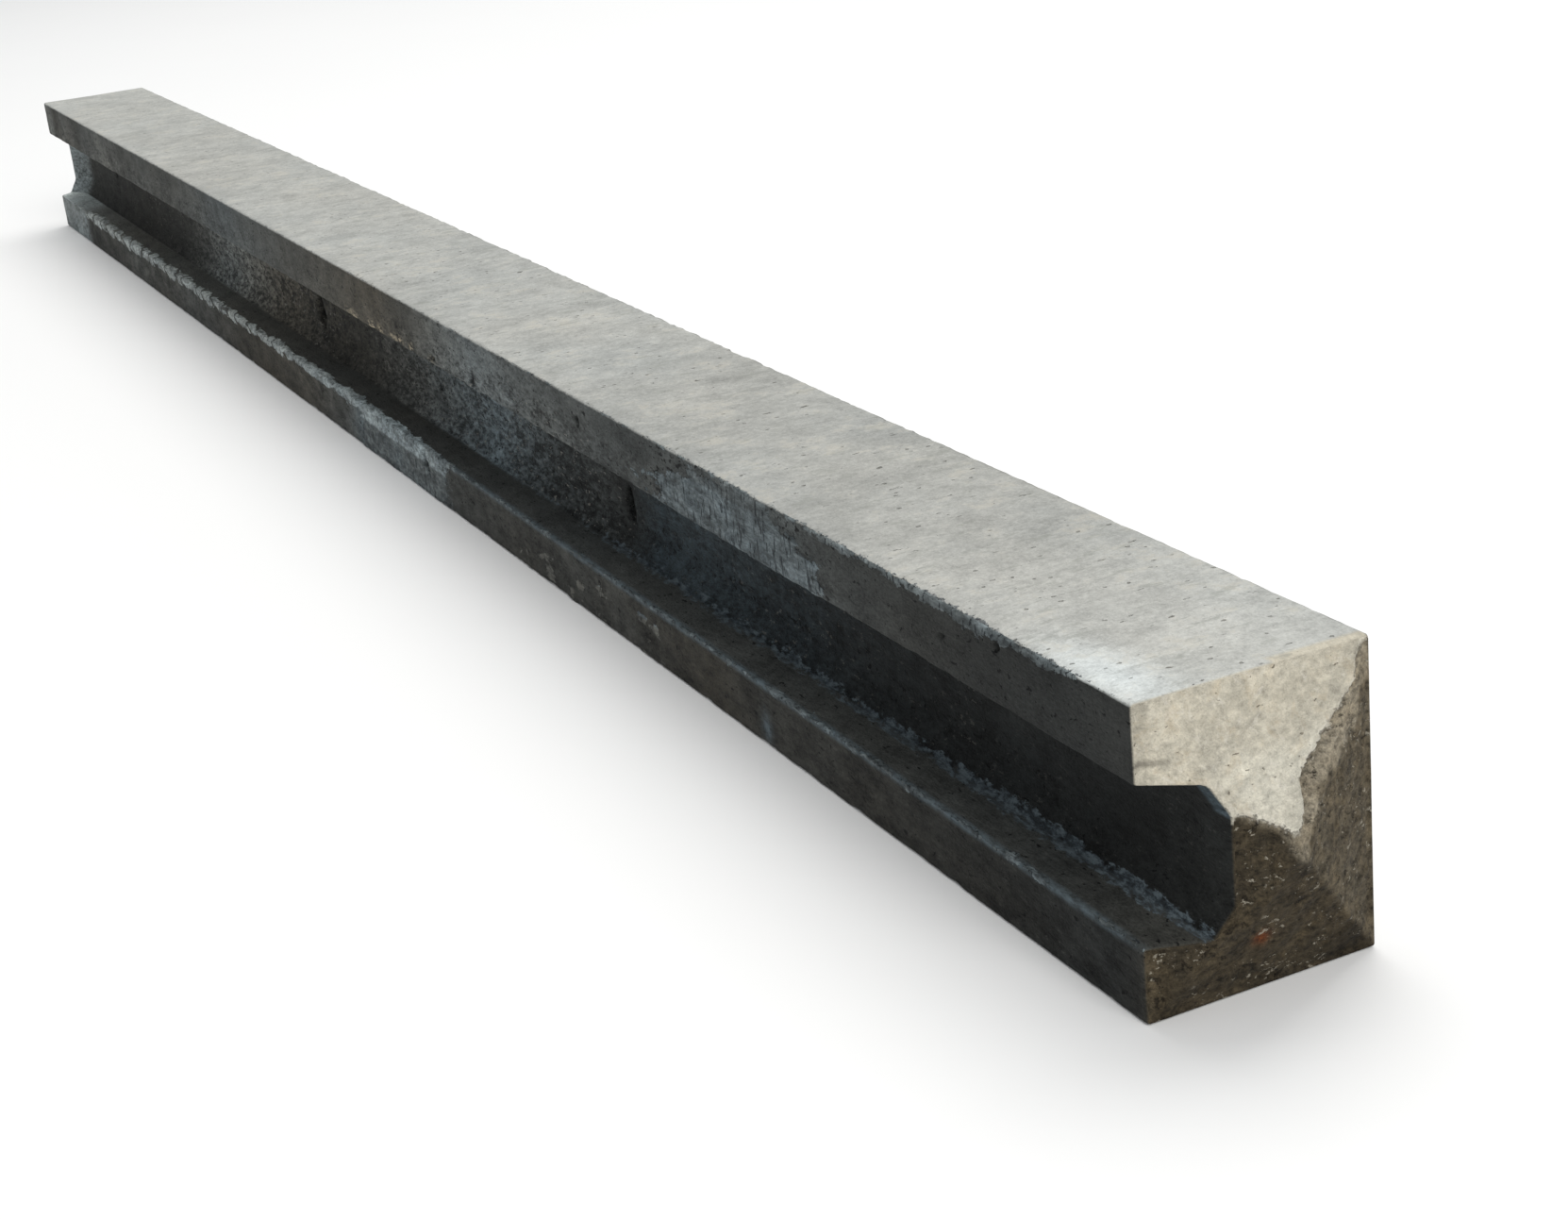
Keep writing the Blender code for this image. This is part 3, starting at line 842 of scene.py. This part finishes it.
# ---- materials
class Look:
    """A node material, built with one short call for each node."""

    def __init__(self, name):
        self.material = bpy.data.materials.new(name)
        self.material.use_nodes = True
        self.nodes = self.material.node_tree.nodes
        self.links = self.material.node_tree.links
        self.shader = self.nodes["Principled BSDF"]
        self.place = self.add("ShaderNodeTexCoord", {})["Object"]

    def add(self, kind, inputs, **settings):
        """The outputs of a new node; each of its inputs is a number, a colour or a link."""
        made = self.nodes.new(kind)
        for key, value in settings.items():
            setattr(made, key, value)
        for key, value in inputs.items():
            self.feed(made.inputs[key], value)
        return made.outputs

    def feed(self, socket, value):
        if isinstance(value, bpy.types.NodeSocket):
            self.links.new(value, socket)
        else:
            socket.default_value = value

    def math(self, operation, first, second=0.0, clamp=False):
        inputs = {0: first, 1: second}
        return self.add("ShaderNodeMath", inputs, operation=operation, use_clamp=clamp)[0]

    def times(self, product, *factors):
        for factor in factors:
            product = self.math("MULTIPLY", product, factor)
        return product

    def vary(self, value, texture, amount):
        """Value plus a texture's swing about its middle, times an amount."""
        swing = self.math("SUBTRACT", texture, 0.5)
        return self.math("ADD", value, self.times(swing, amount))

    def varied(self, *textures):
        """1 plus the swing of each texture about its middle, times that texture's amount."""
        value = 1.0
        for texture, amount in textures:
            value = self.vary(value, texture, amount)
        return value

    def spread(self, value, low, high, to_low=0.0, to_high=1.0):
        """Maps low..high onto to_low..to_high smoothly, clamped."""
        inputs = {"Value": value, "From Min": low, "From Max": high}
        inputs.update({"To Min": to_low, "To Max": to_high})
        return self.add("ShaderNodeMapRange", inputs, interpolation_type="SMOOTHSTEP")["Result"]

    def divided(self, size, slant=0.0):
        """The object's own coordinates, turned about X and divided by a size, as for noise."""
        place = self.place
        if slant:
            turn = {"Vector": place, "Angle": slant}
            place = self.add("ShaderNodeVectorRotate", turn, rotation_type="X_AXIS")["Vector"]
        scale = tuple(1 / np.broadcast_to(size, 3))
        return self.add("ShaderNodeVectorMath", {0: place, 1: scale}, operation="MULTIPLY")[0]

    def grain(self, size, detail=3.0, rough=0.6, distortion=0.0, slant=0.0):
        """Noise with lumps of a size in metres, one number or one for each axis, turned about X."""
        inputs = {"Vector": self.divided(size, slant), "Scale": 1.0}
        inputs.update({"Detail": detail, "Roughness": rough, "Distortion": distortion})
        return self.add("ShaderNodeTexNoise", inputs)["Fac"]

    def dots(self, size, low, high):
        """1 inside sparse spots scattered about one to a size, 0 elsewhere."""
        inputs = {"Vector": self.divided(size), "Scale": 1.0}
        reach = self.add("ShaderNodeTexVoronoi", inputs)["Distance"]
        rim = self.vary(reach, self.grain(np.multiply(size, 0.2)), high * 2.5)
        return self.spread(rim, low, high, 1.0, 0.0)

    def creases(self, size, width, **options):
        """Thin wandering lines, 1 on the line and 0 away from it."""
        swing = self.math("ABSOLUTE", self.math("SUBTRACT", self.grain(size, **options), 0.5))
        return self.spread(swing, width * 0.3, width, 1.0, 0.0)

    def gaps(self, direction, spacing, width):
        """1 in slanted gaps about a spacing apart along a direction, 0 between them."""
        inputs = {0: self.place, 1: tuple(part / spacing for part in direction)}
        along = self.add("ShaderNodeVectorMath", inputs, operation="DOT_PRODUCT")["Value"]
        phase = self.vary(along, self.grain((0.03, 0.02, 0.02), 2.0), 2.4)
        return self.spread(self.math("PINGPONG", phase, 0.5), 0.5 - width, 0.5 - width * 0.4)

    def value(self, name):
        return self.add("ShaderNodeAttribute", {}, attribute_name=name)["Fac"]

    def colour(self, name):
        return self.add("ShaderNodeAttribute", {}, attribute_name=name)["Color"]

    def mix(self, share, first, second):
        inputs = {"Factor": share, 6: first, 7: second}
        return self.add("ShaderNodeMix", inputs, data_type="RGBA")[2]

    def coat(self, colour, share, strength, paint):
        """A colour with a paint over it, as thick as a share times a strength."""
        return self.mix(self.times(share, strength), colour, linear(*paint))

    def scaled(self, colour, factor):
        """A colour times a number."""
        return self.add("ShaderNodeVectorMath", {0: colour, "Scale": factor}, operation="SCALE")[0]

    def finish(self, colour, roughness, specular, bumps):
        """The finished material; each bump is a height, its distance in metres and a strength."""
        above = {}
        for height, distance, strength in bumps:
            inputs = {"Strength": strength, "Distance": distance, "Height": height, **above}
            above = {"Normal": self.add("ShaderNodeBump", inputs)["Normal"]}
        inputs = {"Base Color": colour, "Roughness": roughness, "Specular IOR Level": specular}
        for key, value in {**inputs, **above}.items():
            self.feed(self.shader.inputs[key], value)
        return self.material


def linear(red, green, blue):
    """Linear colour from display values out of 255."""
    return tuple(((c / 255 + 0.055) / 1.055) ** 2.4 for c in (red, green, blue)) + (1.0,)


def moulded_skin(name, contrast=1.0, coarse=0.85, crisp=1.5):
    """Dark damp concrete cast against the mould.

    What it reads from the mesh: "sand" (how open and sandy), "pitted" (where pits crowd, painted
    near-black as shade), "crust" and "mortar" (where pale mortar lies, and its colour), "dabs" (how
    far that mortar is split into dabs), "corner_highlight" (a bluish band along the slot's lower
    inner corner, a painted highlight on its rounding), "mouth" and "line" (a rubbed line along the
    slot's lower mouth),
    "wear" (rubbed marks) and "chipped" (sandy chips).
    """
    look = Look(name)
    blotch = look.grain(0.022, 4.0, 0.6, 0.3)
    lumps = look.grain((0.017, 0.0065, 0.0065), 5.0, 0.72, 0.2)
    grit = look.grain((0.0052, 0.0022, 0.0022), 4.0, 0.7)
    fine = look.grain((0.0014, 0.0007, 0.0007), 2.0, 0.6)
    sand = look.value("sand")
    strength = look.math("ADD", look.times(sand, 4.2 * contrast), 0.6 * contrast)
    texture = look.vary(look.vary(0.0, lumps, coarse), grit, crisp)
    light = look.varied((blotch, 1.3 * contrast), (fine, 1.3))
    light = look.math("ADD", light, look.times(texture, strength))
    light = look.math("MAXIMUM", light, 0.28)
    skin = look.scaled(look.colour("tint"), light)
    flecks = look.spread(look.grain((0.0046, 0.0022, 0.0022), 3.0, 0.7), 0.62, 0.66)
    skin = look.coat(skin, look.times(flecks, sand, sand), 0.8, (138, 136, 130))
    chipped = look.times(look.value("chipped"), look.spread(grit, 0.45, 0.6))
    skin = look.mix(chipped, skin, linear(182, 170, 146))
    # Painted shade: near-black pits, more of them where pitted is high, also sunk by the bumps.
    crowd = look.math("ADD", look.times(look.value("pitted"), 0.13), 0.59)
    hollow = look.math("SUBTRACT", 1.26, look.grain((0.0044, 0.0024, 0.0026), 2.0, 0.7, 0.3))
    shaded_pits = look.math("MULTIPLY", look.math("SUBTRACT", crowd, hollow), 28.0, True)
    skin = look.coat(skin, shaded_pits, 0.9, (12, 13, 14))
    # Painted shade: scattered near-black blow holes.
    shaded_blow_holes = look.dots((0.022, 0.013, 0.013), 0.04, 0.09)
    shaded_blow_holes = look.times(shaded_blow_holes, look.spread(blotch, 0.42, 0.56))
    skin = look.coat(skin, shaded_blow_holes, 0.85, (18, 19, 20))
    # Painted highlight: the pale bluish band along the slot's lower inner corner, in lighter and
    # darker grains.
    corner_highlight_edge = look.vary(look.vary(look.value("corner_highlight"), lumps, 7.0), grit, 6.0)
    corner_highlight = look.spread(corner_highlight_edge, -0.25, 0.45)
    corner_highlight = look.times(corner_highlight, look.spread(grit, 0.38, 0.6, 0.3, 1.0))
    highlight_tones = look.mix(look.spread(grit, 0.42, 0.64), linear(62, 71, 78), linear(92, 102, 107))
    skin = look.mix(corner_highlight, skin, highlight_tones)
    line_edge = look.vary(look.value("mouth"), look.grain((0.02, 0.01, 0.01), 4.0, 0.6), 1.6)
    line = look.spread(line_edge, 0.4, 3.9, 1.0, 0.0)
    line = look.times(line, look.value("line"), look.spread(grit, 0.3, 0.6, 0.3, 1.1))
    worn = look.times(look.value("wear"), look.spread(grit, 0.32, 0.62, 0.35, 1.1))
    skin = look.mix(look.math("MAXIMUM", line, worn, True), skin, linear(101, 114, 121))
    flakes = look.grain((0.012, 0.006, 0.006), 4.0, 0.7, 0.4)
    margin = look.vary(look.vary(look.value("crust"), flakes, 12.0), grit, 4.0)
    gaps = look.gaps((1.0, 1.4, 1.4), 0.03, 0.14)
    margin = look.math("SUBTRACT", margin, look.times(gaps, look.value("dabs")))
    crust = look.spread(margin, -0.15, 0.35)
    mortar = look.scaled(look.colour("mortar"), look.spread(grit, 0.3, 0.7, 0.55, 1.55))
    mortar = look.scaled(mortar, look.spread(lumps, 0.35, 0.65, 0.55, 1.3))
    dashes = look.spread(look.grain((0.0014, 0.0014, 0.0075), 2.0, 0.6, 0.3), 0.595, 0.63)
    mortar = look.coat(mortar, dashes, 0.8, (30, 33, 37))
    colour = look.mix(crust, skin, mortar)
    bumps = [
        (lumps, 0.0016, 0.6),
        (look.math("SUBTRACT", grit, shaded_pits), 0.0012, 0.6),
        (look.math("SUBTRACT", crust, look.times(dashes, 0.6)), 0.0009, 0.8),
        (fine, 0.0003, 0.5),
    ]
    return look.finish(colour, look.spread(grit, 0.3, 0.7, 0.66, 0.86), 0.12, bumps)


def trowelled_top():
    """Pale dry face, mottled, with short trowel streaks across the post and small pits painted
    darker as shade.
    """
    look = Look("concrete_top")
    streak = look.grain((0.0034, 0.01, 0.01), 5.0, 0.78, 0.6)
    sweep = look.grain((0.0085, 0.028, 0.028), 4.0, 0.65, 0.3)
    cloud = look.grain((0.016, 0.02, 0.02), 6.0, 0.76, 0.1)
    broad = look.grain((0.045, 0.05, 0.05), 3.0)
    grit = look.grain(0.0018, 3.0, 0.7)
    fine = look.grain(0.0007, 2.0)
    light = look.varied(
        (streak, 0.46), (sweep, 0.34), (cloud, 0.92), (broad, 0.36), (grit, 0.65), (fine, 0.45)
    )
    colour = look.scaled(look.colour("tint"), light)
    colour = look.mix(look.spread(cloud, 0.53, 0.66, 0.0, 0.4), colour, linear(186, 181, 168))
    washed = look.spread(look.grain((0.007, 0.022, 0.022), 5.0, 0.78, 0.2), 0.54, 0.64, 0.0, 0.42)
    colour = look.mix(washed, colour, linear(142, 144, 137))
    # Painted shade: small elongated pits and dots darkened, and sunk by the bumps.
    hollow = look.grain((0.003, 0.0078, 0.0078), 2.0, 0.6, 0.3)
    shaded_pits = look.times(look.spread(hollow, 0.695, 0.73), look.spread(cloud, 0.45, 0.55))
    small_shaded_pits = look.times(look.dots((0.006, 0.008, 0.008), 0.06, 0.13), look.spread(sweep, 0.45, 0.55))
    dark = look.math("MAXIMUM", shaded_pits, look.times(small_shaded_pits, 0.8))
    colour = look.coat(colour, dark, 0.72, (84, 80, 72))
    scratch = look.creases((0.007, 0.02, 0.02), 0.01, detail=4.0, rough=0.6)
    scratch = look.times(scratch, look.spread(sweep, 0.5, 0.62))
    colour = look.coat(colour, scratch, 0.3, (118, 116, 108))
    edge_noise = look.grain(0.0034, 5.0, 0.75)
    margin = look.vary(look.value("crust"), edge_noise, 11.0)
    edge = look.spread(margin, -0.1, 0.3)
    rough_edge = look.mix(look.spread(grit, 0.35, 0.65), linear(58, 61, 64), linear(136, 140, 140))
    colour = look.mix(edge, colour, rough_edge)
    bumps = [
        (streak, 0.0006, 0.3),
        (look.times(dark, -1.0), 0.0012, 0.9),
        (grit, 0.0004, 0.4),
    ]
    return look.finish(colour, look.spread(streak, 0.3, 0.7, 0.8, 0.93), 0.2, bumps)


def weathered_end():
    """Broken dark concrete under a skim of fresh beige paste."""
    look = Look("concrete_weathered_top")
    patch = look.grain(0.0085, 4.0, 0.65, 0.4)
    lumps = look.grain((0.005, 0.0082, 0.0058), 5.0, 0.72, 0.3)
    grit = look.grain((0.0019, 0.0028, 0.0022), 4.0, 0.72)
    fine = look.grain(0.0006, 2.0)
    streak = look.grain((0.004, 0.015, 0.003), 3.0, 0.6, 0.6, slant=-0.35)
    edge_noise = look.grain(0.003, 5.0, 0.72, 0.3)
    margin = look.vary(look.value("paste"), edge_noise, 6.5)
    paste = look.spread(margin, -0.18, 0.18)
    broken = look.math("SUBTRACT", 1.0, paste)
    light = look.varied(
        (lumps, look.spread(paste, 0, 1, 2.0, 0.75)),
        (patch, look.spread(paste, 0, 1, 0.8, 0.45)),
        (grit, look.spread(paste, 0, 1, 3.2, 1.2)),
        (fine, look.spread(paste, 0, 1, 0.9, 0.5)),
        (streak, look.times(paste, 0.55)),
    )
    light = look.math("MAXIMUM", light, 0.25)
    colour = look.scaled(look.colour("tint"), light)
    # Painted highlight: a pale rim along the inside of the paste's raised edge.
    rim = look.times(look.spread(margin, -0.4, 0.1), look.spread(margin, 0.3, 1.1, 1.0, 0.0))
    colour = look.coat(colour, rim, 0.45, (222, 217, 204))
    # Painted shadow: a dark brown band on the broken concrete just below the raised edge of the
    # paste.
    paste_edge_shadow = look.times(look.spread(margin, -0.9, -0.2), broken)
    colour = look.coat(colour, paste_edge_shadow, 0.4, (66, 58, 48))
    stain = look.times(look.spread(patch, 0.52, 0.68), paste)
    colour = look.coat(colour, stain, 0.3, (168, 150, 120))
    white = look.times(look.spread(look.grain(0.0046, 4.0, 0.7, 0.6), 0.56, 0.66), paste)
    colour = look.coat(colour, white, 0.35, (218, 213, 202))
    # Painted shade: small holes darkened, fully on the broken concrete and fainter on the paste.
    holes = look.spread(look.grain((0.002, 0.003, 0.0018), 2.0, 0.6), 0.69, 0.73)
    holes = look.times(holes, look.spread(patch, 0.44, 0.54))
    hole_shade = look.times(holes, look.spread(paste, 0, 1, 0.0, 0.65))
    colour = look.mix(hole_shade, colour, linear(92, 82, 66))
    # Painted shade: thin near-black crevices across the broken concrete.
    crevice_shade = look.spread(look.grain((0.004, 0.007, 0.0048), 5.0, 0.75, 0.4), 0.37, 0.42, 1.0, 0.0)
    crevice_shade = look.times(crevice_shade, broken, look.spread(patch, 0.44, 0.58))
    colour = look.coat(colour, crevice_shade, 0.7, (28, 24, 20))
    clusters = look.spread(look.grain(0.014, 2.0), 0.46, 0.56)
    grains = look.spread(look.grain((0.0024, 0.0038, 0.0026), 4.0, 0.75, 0.3), 0.6, 0.63)
    colour = look.coat(colour, look.times(grains, clusters, broken), 0.75, (158, 152, 138))
    sunk = look.math("ADD", crevice_shade, holes)
    bumps = [
        (lumps, 0.003, 0.7),
        (grit, 0.001, 0.5),
        (look.math("SUBTRACT", paste, sunk), 0.0009, 0.8),
        (fine, 0.0002, 0.4),
    ]
    return look.finish(colour, look.spread(lumps, 0.3, 0.7, 0.74, 0.92), 0.14, bumps)


def plain_cast(name):
    """Cast faces that are neither trowelled nor damp: the back, the underside and the base end."""
    look = Look(name)
    blotch = look.grain((0.05, 0.03, 0.03), 4.0, 0.6)
    grit = look.grain(0.0025, 4.0, 0.6)
    fine = look.grain(0.0006, 2.0)
    light = look.varied((blotch, 0.7), (grit, 0.45))
    colour = look.scaled(look.colour("tint"), light)
    # Painted shade: scattered small holes darkened, and sunk by the bumps.
    holes = look.times(look.dots(0.016, 0.05, 0.11), look.spread(blotch, 0.42, 0.55))
    colour = look.coat(colour, holes, 0.75, (58, 56, 52))
    bumps = [
        (grit, 0.0006, 0.4),
        (look.times(holes, -1.0), 0.0015, 0.8),
        (fine, 0.0002, 0.4),
    ]
    return look.finish(colour, look.spread(grit, 0.3, 0.7, 0.78, 0.92), 0.25, bumps)


def steel(name, clean, rusty, amount, scale, metallic):
    """Bar or wire with rust over mill scale."""
    look = Look(name)
    patches = look.grain((scale * 4, scale, scale), 5.0, 0.65)
    fine = look.grain(scale / 8, 3.0)
    rust = look.spread(patches, 0.62 - amount * 0.3, 0.72 - amount * 0.2)
    colour = look.mix(rust, linear(*clean), linear(*rusty))
    colour = look.scaled(colour, look.spread(fine, 0.3, 0.7, 0.75, 1.2))
    look.feed(look.shader.inputs["Metallic"], look.spread(rust, 0, 1, metallic, 0.0))
    return look.finish(colour, look.spread(rust, 0, 1, 0.45, 0.85), 0.5, [(fine, scale / 12, 0.5)])


def moulded_plastic(name):
    """Black injection-moulded plastic with a fine spark-eroded grain."""
    look = Look(name)
    grain = look.grain(0.0005, 3.0)
    cloud = look.grain(0.008, 2.0)
    colour = look.mix(look.spread(cloud, 0.3, 0.7), linear(38, 38, 39), linear(52, 52, 54))
    roughness = look.spread(grain, 0.3, 0.7, 0.42, 0.58)
    return look.finish(colour, roughness, 0.5, [(grain, 0.0001, 0.5)])


# ---- put together
def dress_concrete():
    piece = build_casting()
    looks = {
        "top": trowelled_top(),
        "back": plain_cast("concrete_back"),
        "underside": plain_cast("concrete_underside"),
        "lower_face": moulded_skin("concrete_lower_face", 1.4, 1.0, 0.9),
        "lower_wall": moulded_skin("concrete_slot_side", 0.8, 0.6, 1.2),
        "slot_floor": moulded_skin("concrete_slot_floor", 1.0),
        "upper_face": moulded_skin("concrete_upper_face", 1.0, 0.8, 1.1),
    }
    looks["lower_slope"] = looks["slot_floor"]
    looks["upper_slope"] = looks["slot_floor"]
    looks["upper_wall"] = looks["lower_wall"]
    for name in FACES:
        piece.data.materials.append(looks[name])
    piece.data.materials.append(weathered_end())
    piece.data.materials.append(plain_cast("concrete_base_end"))
    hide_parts("concrete_post")
    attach(piece, "root")
    return piece


def dress_frame():
    """Gives every CAD piece inside the concrete its own finish."""
    finishes = {
        "bar": steel("bar_steel", (112, 104, 98), (104, 66, 42), 0.9, 0.006, 0.6),
        "link": steel("link_steel", (128, 122, 118), (112, 72, 46), 0.5, 0.004, 0.7),
        "tie": steel("tie_steel", (72, 70, 70), (92, 62, 44), 0.3, 0.002, 0.7),
        "spacer": moulded_plastic("spacer_plastic"),
    }
    for name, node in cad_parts.items():
        kind = name.split("_")[0]
        if kind in finishes:
            for slot in node.material_slots:
                slot.material = finishes[kind]


def add_floor():
    size = 14.0
    corners = [(-size, -size, 0), (size, -size, 0), (size, size, 0), (-size, size, 0)]
    floor = add_object("floor", corners, [(0, 1, 2, 3)])
    look = Look("studio_floor")
    soft = look.grain(0.6, 2.0)
    colour = look.mix(soft, (0.93, 0.93, 0.93, 1.0), (0.95, 0.95, 0.95, 1.0))
    look.feed(look.shader.inputs["Base Color"], colour)
    look.shader.inputs["Roughness"].default_value = 0.9
    look.shader.inputs["Specular IOR Level"].default_value = 0.1
    floor.data.materials.append(look.material)


def add_lights():
    world = bpy.data.worlds.new("studio")
    bpy.context.scene.world = world
    world.use_nodes = True
    background = world.node_tree.nodes["Background"]
    background.inputs["Color"].default_value = (0.93, 0.97, 1.0, 1.0)
    background.inputs["Strength"].default_value = 0.36
    for name, place, size, power in (
        ("key", (4.8, -0.5, 3.6), 4.0, 190.0),
        ("over", (-1.4, 1.4, 4.4), 4.5, 150.0),
    ):
        light = bpy.data.lights.new(name, "AREA")
        light.shape = "DISK"
        light.size = size
        light.energy = power
        light.color = (1.0, 0.985, 0.96)
        lamp = bpy.data.objects.new(name, light)
        lamp.location = place
        lamp.rotation_mode = "QUATERNION"
        lamp.rotation_quaternion = (Vector((0.1, 0, 0)) - Vector(place)).to_track_quat("-Z", "Y")
        bpy.context.scene.collection.objects.link(lamp)


def add_camera():
    right = Vector((0.4348, 0.8951, -0.0988)).normalized()
    back = Vector((0.858, -0.3785, 0.3473)).normalized()
    up = back.cross(right).normalized()
    right = up.cross(back)
    camera = bpy.data.cameras.new("camera")
    camera.lens = 58.48
    camera.sensor_width = 36.0
    camera.clip_start = 0.05
    camera.clip_end = 60.0
    holder = bpy.data.objects.new("camera", camera)
    turned = Matrix((right, up, back)).transposed()
    holder.matrix_world = Matrix.Translation((1.4437, -0.4126, 0.4056)) @ turned.to_4x4()
    bpy.context.scene.collection.objects.link(holder)
    bpy.context.scene.camera = holder


add_camera()
add_lights()
add_floor()
dress_frame()
dress_concrete()
bpy.context.scene.view_settings.view_transform = "Standard"
